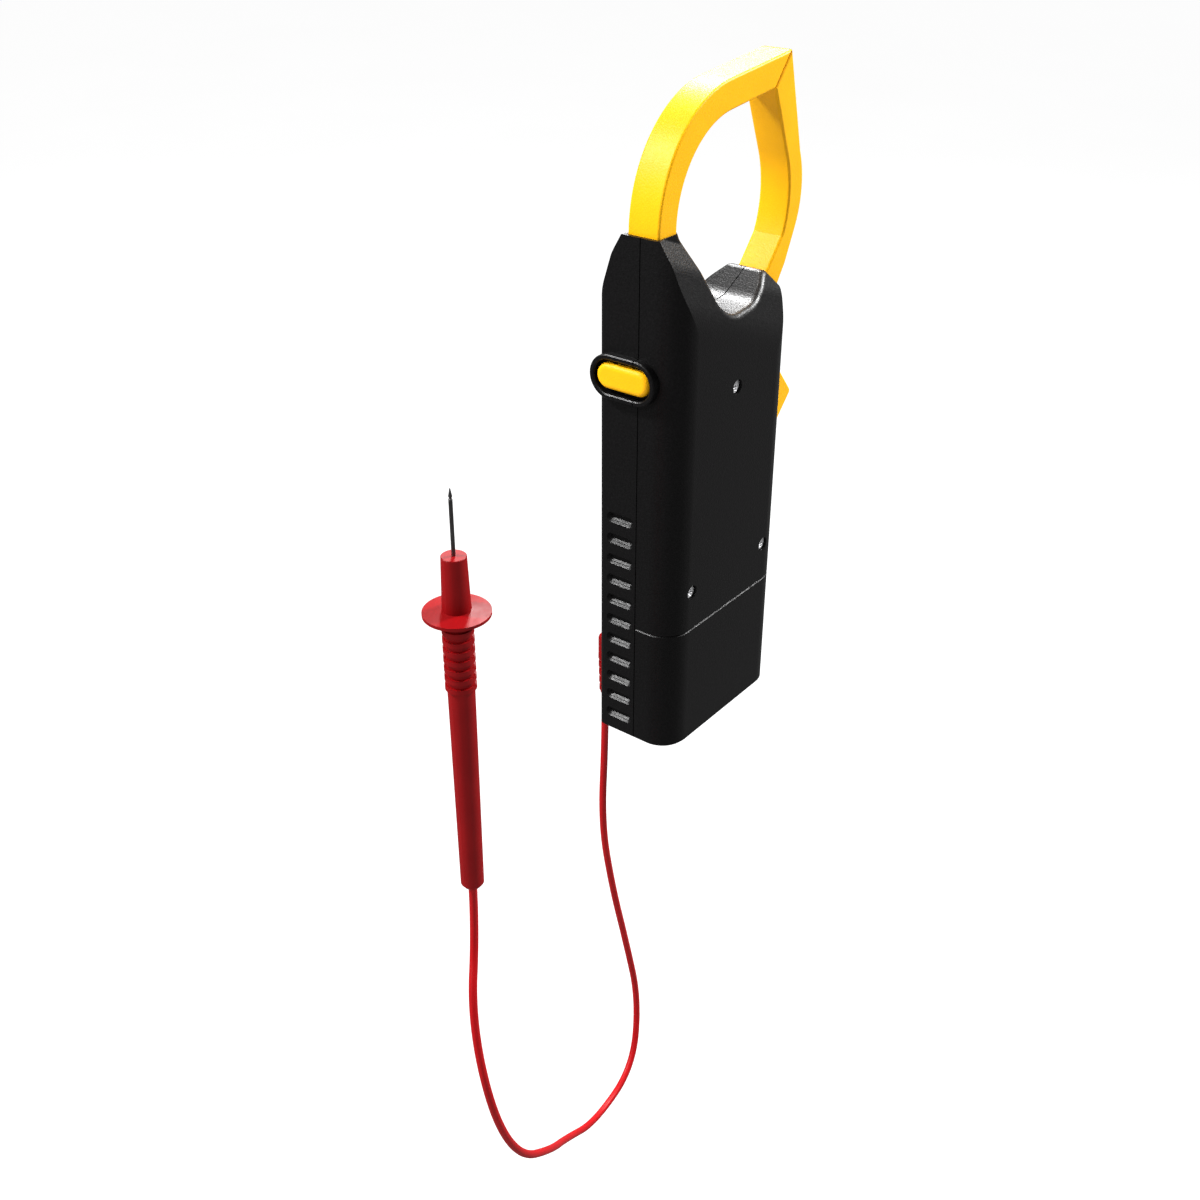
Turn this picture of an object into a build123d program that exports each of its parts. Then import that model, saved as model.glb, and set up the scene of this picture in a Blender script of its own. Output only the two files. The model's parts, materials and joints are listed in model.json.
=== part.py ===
from build123d import *
import os
from math import pi, radians, tan

os.makedirs("parts", exist_ok=True)

# Clamp meter with its test lead plugged in, in millimetres.
# +X is to the right seen from the front, -Y is the front, +Z is up.
# The origin is in the hand that holds the meter: on the axis of the case, GRIP_HEIGHT above its
# bottom. Every "height" below is measured from the bottom of the case.

GRIP_HEIGHT = 70.0

# ---- case ----
CASE_WIDTH = 68.8
CASE_DEPTH = 31.5
CASE_WALL = 2.0
BACK_CORNER = 10.3
FRONT_CORNER = 2.0
CASE_TOP = 185.5
HALF_WIDTH = CASE_WIDTH / 2
HALF_DEPTH = CASE_DEPTH / 2
INNER_FRONT = -HALF_DEPTH + CASE_WALL
INNER_BACK = HALF_DEPTH - CASE_WALL
BOTTOM_CHAMFER = 1.0

# The top of the case gets thinner along a ruled surface that falls towards the trigger side.
# Half depth and height of its corners at TAPER_X, and the radius at each inner corner.
TAPER_PROFILE = [(HALF_DEPTH, 150.0), (HALF_DEPTH, 161.5), (11.0, 176.5), (6.5, 184.3), (6.5, 230.0)]
TAPER_RADII = (30.0, 14.0, 1.0)
TAPER_X = 28.0
TAPER_SLOPE = 0.39
TAPER_REACH = 90.0

# Inner volumes are a hair thinner than the tapered solid, so that their flat faces never coincide.
FOOTPRINT_SHRINK = 1.02

# The valley between the jaws, from the collar to the low shoulder: (x, height) and corner radii.
VALLEY = [(22.4, CASE_TOP), (6.6, 155.0), (-13.5, 155.0), (-27.0, 162.5), (-HALF_WIDTH, 155.0)]
VALLEY_RADII = (15.0, 14.0, 3.5)
VALLEY_RIM_RADIUS = 2.5
GROOVE_DEPTH = 0.35
GROOVE_WIDTH = 0.36

# ---- battery door ----
DOOR_HEIGHT = 47.2
DOOR_GAP = 0.15
DOOR_EDGE = 0.4

# ---- case screws: (x, height) ----
CASE_SCREWS = [(-22.6, 62.0), (22.6, 62.0), (0.0, 130.5)]
SCREW_HEAD_RADIUS = 2.35
SCREW_HEAD_RECESS = 0.6
SCREW_HEAD_THICKNESS = 1.9
SCREW_SHANK_RADIUS = 1.4
SCREW_LENGTH = 19.0
BOSS_RADIUS = 3.5

# ---- grip slots in the sides ----
SLOT_COUNT = 11
SLOT_PITCH = 8.0
SLOT_LENGTH = 11.3
SLOT_WIDTH = 3.9
SLOT_DEPTH = 0.7
SLOT_DRAFT = 38.0
SLOT_STEP = 0.8
SLOT_STEP_DEPTH = 0.8
SLOT_TOP_HEIGHT = 87.8
SLOT_CENTRE_Y = -6.75

# ---- jaws: section, and the circle that the fixed jaw follows ----
JAW_HALF_DEPTH = 5.95
JAW_EDGE = 0.9
JAW_CENTRE = (-8.0, 186.0)
JAW_OUTER_RADIUS = 41.0
JAW_INNER_RADIUS = 31.4
JAW_ROOT_HEIGHT = 157.0
JAW_ARM_RISE = 6.03
MITRE_OUTER = (-38.5, 230.5)
MITRE_INNER = (-29.6, 219.85)
MITRE_GAP = 0.3
ARM_OUTER = [(-47.8, 197.5), (-50.5, 183.5), (-47.2, 170.5)]
ARM_INNER = [(-39.2, 170.2), (-42.0, 183.0), (-38.7, 198.4)]
COVER_WALL = 1.5
CORE_INSET = 2.5
CORE_HALF_DEPTH = 3.4
CORE_CLEARANCE = 0.15

# ---- lever: the moving jaw and its trigger ----
PIVOT = (-25.5, 147.0)
PIVOT_RADIUS = 2.0
PIVOT_CLEARANCE = 0.04
PIVOT_HALF_LENGTH = 10.5
HUB_RADIUS = 7.6
LEVER_CLEARANCE = 0.35
TRIGGER_EDGE = 0.8
SPRING_WIRE = 1.0
SPRING_RADIUS = 5.0
SPRING_TURNS = 2.5
SPRING_LEG = 5.0

# ---- hold button ----
BUTTON_CENTRE_Y = -4.7
BUTTON_HEIGHT = 139.3
BUTTON_SIZE = (20.8, 8.8)
BUTTON_CAP_BOTTOM = 35.2
BUTTON_CAP_TOP = 37.3
BUTTON_CAP_EDGE = 1.9
BUTTON_RING_SIZE = (25.7, 15.2)
BUTTON_RING_RISE = 3.0
BUTTON_RECESS_SIZE = (22.3, 11.7)
BUTTON_RECESS_FLOOR = 33.9
BUTTON_STEM_Y = -3.75
BUTTON_STEM_SIZE = (14.0, 6.0)
BUTTON_CLEARANCE = 0.3
BUTTON_STEM_END = 30.7
SWITCH_SIDE = 25.6

# ---- front controls ----
KNOB_HEIGHT = 114.0
KNOB_RADIUS = 19.0
KNOB_SHAFT_RADIUS = 5.0
ROTOR_RADIUS = 10.5
ROTOR_THICKNESS = 2.2
POCKET_RADIUS = 0.8
DETENT_COUNT = 12
DIAL_RECESS_SIZE = (62.0, 44.0)
DIAL_RECESS_CORNER = 8.0
DIAL_RECESS_DEPTH = 0.5
WINDOW_HEIGHT = 79.5
WINDOW_SIZE = (52.0, 23.0)
WINDOW_THICKNESS = 0.8
COLLAR_RADIUS = 5.2
DISPLAY_SIZE = (51.0, 24.0)

# ---- board ----
BOARD_FRONT = -9.5
BOARD_THICKNESS = 1.6
BOARD_BACK = BOARD_FRONT + BOARD_THICKNESS
BOARD_SCREWS = [(-28.0, 38.0), (28.0, 38.0), (-28.0, 98.0), (28.0, 98.0)]

# ---- jacks and plug ----
JACK_PITCH = 19.0
JACK_HEIGHT = 26.0
JACK_OUTER_RADIUS = 2.9
JACK_BORE_RADIUS = 2.02
JACK_END_Y = -4.6
PLUG_PIN_RADIUS = 1.97
PLUG_AXIS_Y = -24.8
PLUG_RADIUS = 2.6
PLUG_LENGTH = 8.7
PLUG_CROWN = 2.2
PLUG_NECK_RADIUS = 2.9
RELIEF_TOP = 20.0
RELIEF_BOTTOM = 2.5
RELIEF_RADIUS = 2.65
RELIEF_CORE_RADIUS = 2.1
RIB_COUNT = 5

# ---- test lead and probe ----
LEAD_DIAMETER = 2.85
PROBE_X = 128.0
PROBE_Y = 5.5
PROBE_BOTTOM = -1.5
PROBE_GRIP_BOTTOM = 73.5
PROBE_FLANGE_HEIGHT = 100.3
PROBE_NOSE_TOP = 118.5
PROBE_TIP = 139.4
PROBE_FLANGE_RADIUS = 10.1
NEEDLE_RADIUS = 0.6
NEEDLE_TANG_RADIUS = 0.25
NEEDLE_TANG_LENGTH = 20.0
GRIP_RING_COUNT = 7
GRIP_RING_PITCH = 3.2
GRIP_RING_HEIGHT = 1.6
GRIP_RING_RADIUS = 4.75

# The lead hangs from the plug in a wide loop and rises into the probe: (x, y, height).
LEAD_ROUTE = [
    (JACK_PITCH, PLUG_AXIS_Y, RELIEF_BOTTOM),
    (JACK_PITCH, PLUG_AXIS_Y, -20.0),
    (25.0, -22.0, -56.0),
    (19.0, -21.0, -93.0),
    (9.0, -21.0, -131.0),
    (3.0, -18.0, -168.0),
    (16.0, -11.0, -196.0),
    (48.0, -8.0, -200.0),
    (77.0, 0.0, -176.0),
    (104.0, 15.0, -145.0),
    (132.0, 25.0, -114.0),
    (147.0, 27.0, -77.0),
    (143.0, 16.0, -43.0),
    (PROBE_X, PROBE_Y, -21.0),
    (PROBE_X, PROBE_Y, PROBE_BOTTOM),
]

# ---- battery ----
BATTERY_X = (-24.5, 23.5)
BATTERY_Y = (-3.6, 13.2)
BATTERY_HEIGHTS = (14.0, 39.8)


def level(height):
    """Horizontal plane at a height above the bottom of the case."""
    return Plane.XY.offset(height - GRIP_HEIGHT)


def facing_front(y):
    """Upright plane at depth y: sketches are (x, height), and extruding goes to the front."""
    return Plane(origin=(0, y, -GRIP_HEIGHT), x_dir=(1, 0, 0), z_dir=(0, -1, 0))


def facing_right(x):
    """Upright plane at width x: sketches are (y, height), and extruding goes to the right."""
    return Plane(origin=(x, 0, -GRIP_HEIGHT), x_dir=(0, 1, 0), z_dir=(1, 0, 0))


def facing_in(side, x):
    """Upright plane on the right (1) or left (-1) side that faces into the case."""
    return Plane(origin=(side * x, 0, -GRIP_HEIGHT), x_dir=(0, -side, 0), z_dir=(-side, 0, 0))


def save(piece, name):
    """Label a finished piece and write its file."""
    piece.part.label = name
    export_step(piece.part, f"parts/{name}.step")


def span(low, high):
    """Middle of a range."""
    return (low + high) / 2


def block(x_range, y_range, height_range):
    """Plain cuboid between two corners."""
    with BuildPart() as cuboid:
        with BuildSketch(level(height_range[0])):
            with Locations((span(*x_range), span(*y_range))):
                Rectangle(x_range[1] - x_range[0], y_range[1] - y_range[0])
        extrude(amount=height_range[1] - height_range[0])
    return cuboid.part


def rod_y(x, height, radius, y_from, y_to):
    """Round rod along Y."""
    with BuildPart() as rod:
        with BuildSketch(facing_front(y_to)):
            with Locations((x, height)):
                Circle(radius)
        extrude(amount=y_to - y_from)
    return rod.part


def top_outline(inset):
    """The case seen from the front: a high shoulder, a valley and a low shoulder, as a face."""
    with BuildSketch() as outline:
        with BuildLine():
            Polyline(VALLEY[-1], (-HALF_WIDTH, 0), (HALF_WIDTH, 0), (HALF_WIDTH, CASE_TOP), VALLEY[0])
            FilletPolyline(*VALLEY, radius=VALLEY_RADII)
        make_face()
        if inset:
            offset(amount=-inset, kind=Kind.INTERSECTION)
    return outline.sketch


def taper_prism(inset):
    """Ruled solid that gives the top of the case its tapering depth."""
    right = TAPER_PROFILE
    left = [(-y, height) for y, height in reversed(right)]
    start = Plane(origin=(TAPER_X - TAPER_REACH, 0, -GRIP_HEIGHT - TAPER_REACH * TAPER_SLOPE),
                  x_dir=(0, 1, 0), z_dir=(1, 0, 0))
    with BuildPart() as prism:
        with BuildSketch(start):
            with BuildLine():
                Polyline(left[-1], (left[-1][0], -60), (right[0][0], -60), right[0])
                FilletPolyline(*right, radius=TAPER_RADII)
                Line(right[-1], left[0])
                FilletPolyline(*left, radius=TAPER_RADII[::-1])
            make_face()
            if inset:
                offset(amount=-inset, kind=Kind.INTERSECTION)
        extrude(amount=2 * TAPER_REACH, dir=(1, 0, TAPER_SLOPE))
    return prism.part


def valley_rims(volume):
    """Front and back edges of the valley and the low shoulder."""
    lowest = VALLEY[1][1] - GRIP_HEIGHT - 1
    rims = []
    for face in volume.faces():
        box = face.bounding_box()
        upright = abs(face.normal_at(face.center()).Y) < 1e-4
        if upright and box.min.Z > lowest and 0.01 < box.size.X and box.max.X < VALLEY[0][0] + 0.1:
            for edge in face.edges():
                middle = edge.position_at(0.5)
                if abs(middle.Y) > JAW_HALF_DEPTH and abs(middle.X) < HALF_WIDTH - 0.2:
                    rims.append(edge)
    return rims


def case_volume(inset):
    """Outer volume of the closed case, moved inwards by inset."""
    with BuildPart() as volume:
        with BuildSketch(level(inset)) as footprint:
            Rectangle(CASE_WIDTH - 2 * inset, CASE_DEPTH - 2 * inset * FOOTPRINT_SHRINK)
            back = footprint.vertices().group_by(Axis.Y)[-1]
            fillet(back, BACK_CORNER - inset)
            front = footprint.vertices().group_by(Axis.Y)[0]
            fillet(front, max(FRONT_CORNER - inset, 0.4))
        extrude(amount=CASE_TOP)
        add(taper_prism(inset), mode=Mode.INTERSECT)
        with BuildSketch(facing_front(HALF_DEPTH)):
            add(top_outline(inset))
        extrude(amount=CASE_DEPTH, mode=Mode.INTERSECT)
        if inset == 0:
            fillet(valley_rims(volume), VALLEY_RIM_RADIUS)
            chamfer(volume.faces().sort_by(Axis.Z)[0].edges(), BOTTOM_CHAMFER)
    return volume.part


OUTER = case_volume(0)
OUTER_SKIN = case_volume(0.6)
INNER = case_volume(CASE_WALL)
GROOVE_FLOOR = case_volume(GROOVE_DEPTH)


def mitred_jaw(inset, root, end_gap):
    """Fixed jaw seen from the front: straight root, quarter circle and a rising arm, as a face."""
    outer = JAW_OUTER_RADIUS - inset
    inner = JAW_INNER_RADIUS + inset
    turn = 90 - JAW_ARM_RISE
    centre_x, centre_h = JAW_CENTRE
    mitre_run = MITRE_INNER[0] - MITRE_OUTER[0]
    mitre_drop = MITRE_OUTER[1] - MITRE_INNER[1]
    with BuildSketch() as profile:
        with BuildLine():
            right = Line((centre_x + outer, root), (centre_x + outer, centre_h))
            sweep_out = CenterArc(JAW_CENTRE, outer, 0, turn)
            reach = (sweep_out @ 1).X + 60
            arm_out = PolarLine(sweep_out @ 1, reach, 180 - JAW_ARM_RISE)
            sweep_in = CenterArc(JAW_CENTRE, inner, 0, turn)
            arm_in = PolarLine(sweep_in @ 1, reach, 180 - JAW_ARM_RISE)
            Line(arm_out @ 1, arm_in @ 1)
            Line((centre_x + inner, root), (centre_x + inner, centre_h))
            Line((centre_x + inner, root), right @ 0)
        make_face()
        with BuildLine():
            start = (MITRE_OUTER[0] + end_gap - 6 * mitre_run, MITRE_OUTER[1] + 6 * mitre_drop)
            finish = (MITRE_INNER[0] + end_gap + 6 * mitre_run, MITRE_INNER[1] - 6 * mitre_drop)
            Polyline(start, finish, (finish[0] - 150, finish[1]), (start[0] - 150, start[1]), start)
        make_face(mode=Mode.SUBTRACT)
    return profile.sketch


def moving_arm():
    """Moving jaw seen from the front, from the mitre down to the hub, as a face."""
    with BuildSketch() as profile:
        with BuildLine():
            Polyline(MITRE_INNER, MITRE_OUTER, ARM_OUTER[0])
            ThreePointArc(*ARM_OUTER)
            Polyline(ARM_OUTER[-1], (-42.4, 160.2), (-31.5, 144.0), (-20.5, 149.5), (-31.6, 161.2),
                     ARM_INNER[0])
            ThreePointArc(*ARM_INNER)
            Line(ARM_INNER[-1], MITRE_INNER)
        make_face()
    return profile.sketch


def trigger_leg():
    """Lower part of the lever seen from the front: a leg inside the case and the finger wedge."""
    with BuildSketch() as profile:
        with BuildLine():
            Polyline((-24.0, 146.0), (-32.0, 146.0), (-31.9, 133.0), (-34.4, 131.6),
                     (-52.3, 110.3), (-35.5, 92.6), (-31.2, 90.6), (-27.4, 91.6), (-24.6, 112.0),
                     (-24.0, 146.0))
        make_face()
        tip = profile.vertices().sort_by(Axis.X)[0]
        fillet(tip, 1.6)
    return profile.sketch


def on_mitre(fraction):
    """Point on the mitre, from its outer end at 0 to its inner end at 1."""
    return (MITRE_OUTER[0] + fraction * (MITRE_INNER[0] - MITRE_OUTER[0]),
            MITRE_OUTER[1] + fraction * (MITRE_INNER[1] - MITRE_OUTER[1]))


def moving_core_outline(clearance):
    """Core of the moving jaw seen from the front, grown by a clearance, as a face."""
    inner_end = on_mitre(1 - 0.081 * CORE_INSET)
    outer_line = [(x + CORE_INSET, height) for x, height in ARM_OUTER]
    inner_line = [(x - CORE_INSET, height) for x, height in ARM_INNER]
    with BuildSketch() as profile:
        with BuildLine():
            Polyline(inner_end, on_mitre(0.087 * CORE_INSET), outer_line[0])
            ThreePointArc(*outer_line)
            Polyline(outer_line[-1], (-41.4, 163.5), (-38.3, 165.2), inner_line[0])
            ThreePointArc(*inner_line)
            Line(inner_line[-1], inner_end)
        make_face()
        if clearance:
            offset(amount=clearance, kind=Kind.INTERSECTION)
    return profile.sketch


def edges_at_depth(piece, depth):
    """Edges that lie flat on the front and the back face of a piece of the given half depth."""
    return piece.edges().filter_by(
        lambda edge: abs(abs(edge.center().Y) - depth) < 0.01
        and abs(edge.position_at(0).Y - edge.position_at(1).Y) < 0.01
    )


def rounded_plate(profile, edge_radius):
    """Jaw-thick plate of the given front view, with its front and back edges rounded."""
    with BuildPart() as plate:
        with BuildSketch(facing_front(JAW_HALF_DEPTH)):
            add(profile)
        extrude(amount=2 * JAW_HALF_DEPTH)
        fillet(edges_at_depth(plate, JAW_HALF_DEPTH), edge_radius)
    return plate.part


# ---------------------------------------------------------------- jaws and lever

with BuildPart() as fixed_jaw:
    add(rounded_plate(mitred_jaw(0, JAW_ROOT_HEIGHT, MITRE_GAP), JAW_EDGE))
    with BuildSketch(facing_front(JAW_HALF_DEPTH - COVER_WALL)):
        add(mitred_jaw(COVER_WALL, JAW_ROOT_HEIGHT - 1, -1))
    extrude(amount=2 * (JAW_HALF_DEPTH - COVER_WALL), mode=Mode.SUBTRACT)
save(fixed_jaw, "fixed_jaw")

with BuildPart() as fixed_core:
    with BuildSketch(facing_front(CORE_HALF_DEPTH)):
        add(mitred_jaw(CORE_INSET, JAW_ROOT_HEIGHT - 2, MITRE_GAP))
    extrude(amount=2 * CORE_HALF_DEPTH)
save(fixed_core, "fixed_core")

core_x = JAW_CENTRE[0] + (JAW_OUTER_RADIUS + JAW_INNER_RADIUS) / 2
core_width = JAW_OUTER_RADIUS - JAW_INNER_RADIUS - 2 * CORE_INSET
with BuildPart() as sense_coil:
    with BuildSketch(level(JAW_ROOT_HEIGHT + 1)):
        with Locations((core_x, 0)):
            Rectangle(core_width + 1.7, 2 * CORE_HALF_DEPTH + 1.7)
            Rectangle(core_width + 0.1, 2 * CORE_HALF_DEPTH + 0.1, mode=Mode.SUBTRACT)
    extrude(amount=27.0)
save(sense_coil, "sense_coil")

with BuildPart() as jaw_lever:
    add(rounded_plate(moving_arm(), JAW_EDGE))
    add(rounded_plate(trigger_leg(), TRIGGER_EDGE))
    with BuildSketch(facing_front(JAW_HALF_DEPTH)):
        with Locations(PIVOT):
            Circle(HUB_RADIUS)
    extrude(amount=2 * JAW_HALF_DEPTH)
    with BuildSketch(facing_front(JAW_HALF_DEPTH)):
        with Locations(PIVOT):
            Circle(PIVOT_RADIUS + PIVOT_CLEARANCE)
    extrude(amount=2 * JAW_HALF_DEPTH, mode=Mode.SUBTRACT)
    with BuildSketch(facing_front(CORE_HALF_DEPTH + CORE_CLEARANCE)):
        add(moving_core_outline(CORE_CLEARANCE))
    extrude(amount=2 * (CORE_HALF_DEPTH + CORE_CLEARANCE), mode=Mode.SUBTRACT)
save(jaw_lever, "jaw_lever")

with BuildPart() as moving_core:
    with BuildSketch(facing_front(CORE_HALF_DEPTH)):
        add(moving_core_outline(0))
    extrude(amount=2 * CORE_HALF_DEPTH)
save(moving_core, "moving_core")

with BuildPart() as jaw_pivot_pin:
    add(rod_y(*PIVOT, PIVOT_RADIUS, -PIVOT_HALF_LENGTH, PIVOT_HALF_LENGTH))
save(jaw_pivot_pin, "jaw_pivot_pin")

spring_front = JAW_HALF_DEPTH + 0.4 + SPRING_WIRE / 2
with BuildPart() as jaw_return_spring:
    with BuildLine():
        coil = Helix(pitch=SPRING_WIRE * 1.15, height=SPRING_WIRE * 1.15 * SPRING_TURNS,
                     radius=SPRING_RADIUS, direction=(0, 1, 0),
                     center=(PIVOT[0], spring_front, PIVOT[1] - GRIP_HEIGHT))
    with BuildSketch(Plane(origin=coil @ 0, z_dir=coil % 0)):
        Circle(SPRING_WIRE / 2)
    sweep(path=coil, is_frenet=True)
    for end, outward in ((0, -1), (1, 1)):
        with BuildSketch(Plane(origin=coil @ end, z_dir=(coil % end) * outward)):
            Circle(SPRING_WIRE / 2)
        extrude(amount=SPRING_LEG)
save(jaw_return_spring, "jaw_return_spring")

# ---------------------------------------------------------------- case

lever_room = [((-60.0, -28.5), (140.5, 200.0)), ((-60.0, -28.5), (89.0, 133.8))]
lever_slot_y = JAW_HALF_DEPTH + LEVER_CLEARANCE
jaw_root_x = (JAW_CENTRE[0] + JAW_INNER_RADIUS, JAW_CENTRE[0] + JAW_OUTER_RADIUS)


def button_slot(centre_y, size, grow):
    """Stadium on the right side, at the height of the hold button."""
    with BuildSketch() as slot:
        with Locations((centre_y, BUTTON_HEIGHT)):
            SlotOverall(size[0] + grow, size[1] + grow)
    return slot.sketch


around = (-HALF_WIDTH - 9, HALF_WIDTH + 9)
seam_groove = block(around, (-GROOVE_WIDTH / 2, GROOVE_WIDTH / 2), (-5, CASE_TOP + 5)) - GROOVE_FLOOR
door_seam = (DOOR_HEIGHT - GROOVE_WIDTH / 2, DOOR_HEIGHT + GROOVE_WIDTH / 2)
door_groove = block(around, (0, HALF_DEPTH + 5), door_seam) - GROOVE_FLOOR


def half_case(side):
    """One half of the case, side -1 for the front and 1 for the back, with what both halves share."""
    y_range = (-HALF_DEPTH - 4, 0) if side < 0 else (0, HALF_DEPTH + 4)
    half = block(around, y_range, (-5, CASE_TOP + 5))
    post_from = JAW_HALF_DEPTH + 0.25 if side > 0 else -HALF_DEPTH
    post_to = HALF_DEPTH if side > 0 else -JAW_HALF_DEPTH - 0.25
    with BuildPart() as shell:
        add(OUTER)
        add(INNER, mode=Mode.SUBTRACT)
        with BuildSketch(facing_right(HALF_WIDTH - CASE_WALL + 0.4)):
            add(button_slot(BUTTON_CENTRE_Y, BUTTON_RING_SIZE, 0))
        extrude(amount=CASE_WALL - 0.4 + BUTTON_RING_RISE)
        with BuildSketch(facing_right(BUTTON_RECESS_FLOOR)):
            add(button_slot(BUTTON_CENTRE_Y, BUTTON_RECESS_SIZE, 0))
        extrude(amount=10, mode=Mode.SUBTRACT)
        ring = shell.faces().sort_by(Axis.X)[-1]
        chamfer(ring.edges(), 0.35)
        with BuildSketch(facing_right(HALF_WIDTH - CASE_WALL - 1)):
            add(button_slot(BUTTON_STEM_Y, BUTTON_STEM_SIZE, 2 * BUTTON_CLEARANCE))
        extrude(amount=10, mode=Mode.SUBTRACT)
        add(half, mode=Mode.INTERSECT)
        add(seam_groove, mode=Mode.SUBTRACT)
        with BuildSketch(level(JAW_ROOT_HEIGHT - 0.1)):
            with Locations((span(*jaw_root_x), 0)):
                Rectangle(JAW_OUTER_RADIUS - JAW_INNER_RADIUS + 0.2, 2 * JAW_HALF_DEPTH + 0.2)
        extrude(amount=40, mode=Mode.SUBTRACT)
        for x_range, heights in lever_room:
            add(block(x_range, (-lever_slot_y, lever_slot_y), heights), mode=Mode.SUBTRACT)
        for width_side in (-1, 1):
            for step, start, depth in ((0, 0, SLOT_DEPTH), (SLOT_STEP, SLOT_DEPTH, SLOT_STEP_DEPTH)):
                with BuildSketch(facing_in(width_side, HALF_WIDTH - start)):
                    for index in range(SLOT_COUNT):
                        with Locations((-width_side * SLOT_CENTRE_Y, SLOT_TOP_HEIGHT - index * SLOT_PITCH)):
                            SlotOverall(SLOT_LENGTH - 2 * step, SLOT_WIDTH - 2 * step)
                extrude(amount=depth, taper=SLOT_DRAFT, mode=Mode.SUBTRACT)
        add(rod_y(*PIVOT, PIVOT_RADIUS + 2.2, post_from, post_to) & OUTER_SKIN)
        add(rod_y(*PIVOT, PIVOT_RADIUS, -PIVOT_HALF_LENGTH, PIVOT_HALF_LENGTH), mode=Mode.SUBTRACT)
    return shell.part


with BuildPart() as front_shell:
    add(half_case(-1))
    for x, height in CASE_SCREWS:
        add(rod_y(x, height, BOSS_RADIUS, INNER_FRONT - 0.3, 0))
    for x, height in BOARD_SCREWS:
        add(rod_y(x, height, 2.6, INNER_FRONT - 0.3, BOARD_FRONT))
    for x, height in CASE_SCREWS:
        add(rod_y(x, height, SCREW_SHANK_RADIUS, -10.0, 1), mode=Mode.SUBTRACT)
    for x, height in BOARD_SCREWS:
        add(rod_y(x, height, 1.0, INNER_FRONT + 0.5, BOARD_FRONT + 1), mode=Mode.SUBTRACT)
    with BuildSketch(facing_front(INNER_FRONT + 1)):
        with Locations((0, WINDOW_HEIGHT)):
            RectangleRounded(WINDOW_SIZE[0] - 4, WINDOW_SIZE[1] - 4, 1.5)
        with Locations((0, KNOB_HEIGHT)):
            Circle(KNOB_SHAFT_RADIUS + 0.2)
        for index in (-1, 0, 1):
            with Locations((index * JACK_PITCH, JACK_HEIGHT)):
                Circle(JACK_OUTER_RADIUS)
    extrude(amount=CASE_WALL + 3, mode=Mode.SUBTRACT)
    with BuildSketch(facing_front(-HALF_DEPTH + WINDOW_THICKNESS)):
        with Locations((0, WINDOW_HEIGHT)):
            RectangleRounded(WINDOW_SIZE[0] + 0.2, WINDOW_SIZE[1] + 0.2, 2.1)
        for index in (-1, 0, 1):
            with Locations((index * JACK_PITCH, JACK_HEIGHT)):
                Circle(COLLAR_RADIUS)
    extrude(amount=3, mode=Mode.SUBTRACT)
    with BuildSketch(facing_front(-HALF_DEPTH + DIAL_RECESS_DEPTH)):
        with Locations((0, KNOB_HEIGHT)):
            RectangleRounded(*DIAL_RECESS_SIZE, DIAL_RECESS_CORNER)
            Circle(KNOB_RADIUS + 0.8, mode=Mode.SUBTRACT)
    extrude(amount=3, mode=Mode.SUBTRACT)
save(front_shell, "front_shell")



def on_outside(edge):
    """Whether an edge of the door lies on the outer surface of the case."""
    middle = edge.position_at(0.5)
    beyond_corner = Vector(abs(middle.X) - HALF_WIDTH + BACK_CORNER, middle.Y - HALF_DEPTH + BACK_CORNER)
    flat = max(abs(middle.X) - HALF_WIDTH, middle.Y - HALF_DEPTH) > -0.1
    return flat or abs(beyond_corner.length - BACK_CORNER) < 0.1


partition_top = DOOR_HEIGHT + 1.9
with BuildPart() as rear_shell:
    add(half_case(1))
    add(block((-HALF_WIDTH - 1, HALF_WIDTH + 1), (-1, HALF_DEPTH + 1), (-2, DOOR_HEIGHT)),
        mode=Mode.SUBTRACT)
    add(block((-HALF_WIDTH, HALF_WIDTH), (0, HALF_DEPTH), (DOOR_HEIGHT, partition_top)) & OUTER_SKIN)
    add(door_groove, mode=Mode.SUBTRACT)
    for x, height in CASE_SCREWS:
        add(rod_y(x, height, BOSS_RADIUS, 0, INNER_BACK + 0.3))
    for x, height in CASE_SCREWS:
        add(rod_y(x, height, SCREW_SHANK_RADIUS + 0.1, -1, HALF_DEPTH + 1), mode=Mode.SUBTRACT)
        add(rod_y(x, height, SCREW_HEAD_RADIUS + 0.25, HALF_DEPTH - SCREW_HEAD_RECESS
                  - SCREW_HEAD_THICKNESS, HALF_DEPTH + 1), mode=Mode.SUBTRACT)
save(rear_shell, "rear_shell")

with BuildPart() as battery_door:
    add(OUTER)
    add(INNER, mode=Mode.SUBTRACT)
    add(block((-HALF_WIDTH - 1, HALF_WIDTH + 1), (DOOR_GAP, HALF_DEPTH + 1),
              (-1, DOOR_HEIGHT - DOOR_GAP)), mode=Mode.INTERSECT)
    door_top = battery_door.faces().sort_by(Axis.Z)[-1]
    chamfer([edge for edge in door_top.edges() if on_outside(edge)], DOOR_EDGE)
    add(seam_groove, mode=Mode.SUBTRACT)
save(battery_door, "battery_door")

with BuildPart() as case_screws:
    head_back = HALF_DEPTH - SCREW_HEAD_RECESS
    for x, height in CASE_SCREWS:
        with BuildSketch(facing_front(head_back)):
            with Locations((x, height)):
                Circle(SCREW_HEAD_RADIUS)
        extrude(amount=SCREW_HEAD_THICKNESS)
        with BuildSketch(facing_front(head_back)):
            with Locations((x, height)):
                Circle(SCREW_SHANK_RADIUS)
        extrude(amount=SCREW_LENGTH)
        with BuildSketch(facing_front(head_back)):
            with Locations((x, height)):
                Rectangle(2.6, 0.6)
                Rectangle(0.6, 2.6)
        extrude(amount=1.0, mode=Mode.SUBTRACT)
save(case_screws, "case_screws")

# ---------------------------------------------------------------- hold button

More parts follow.
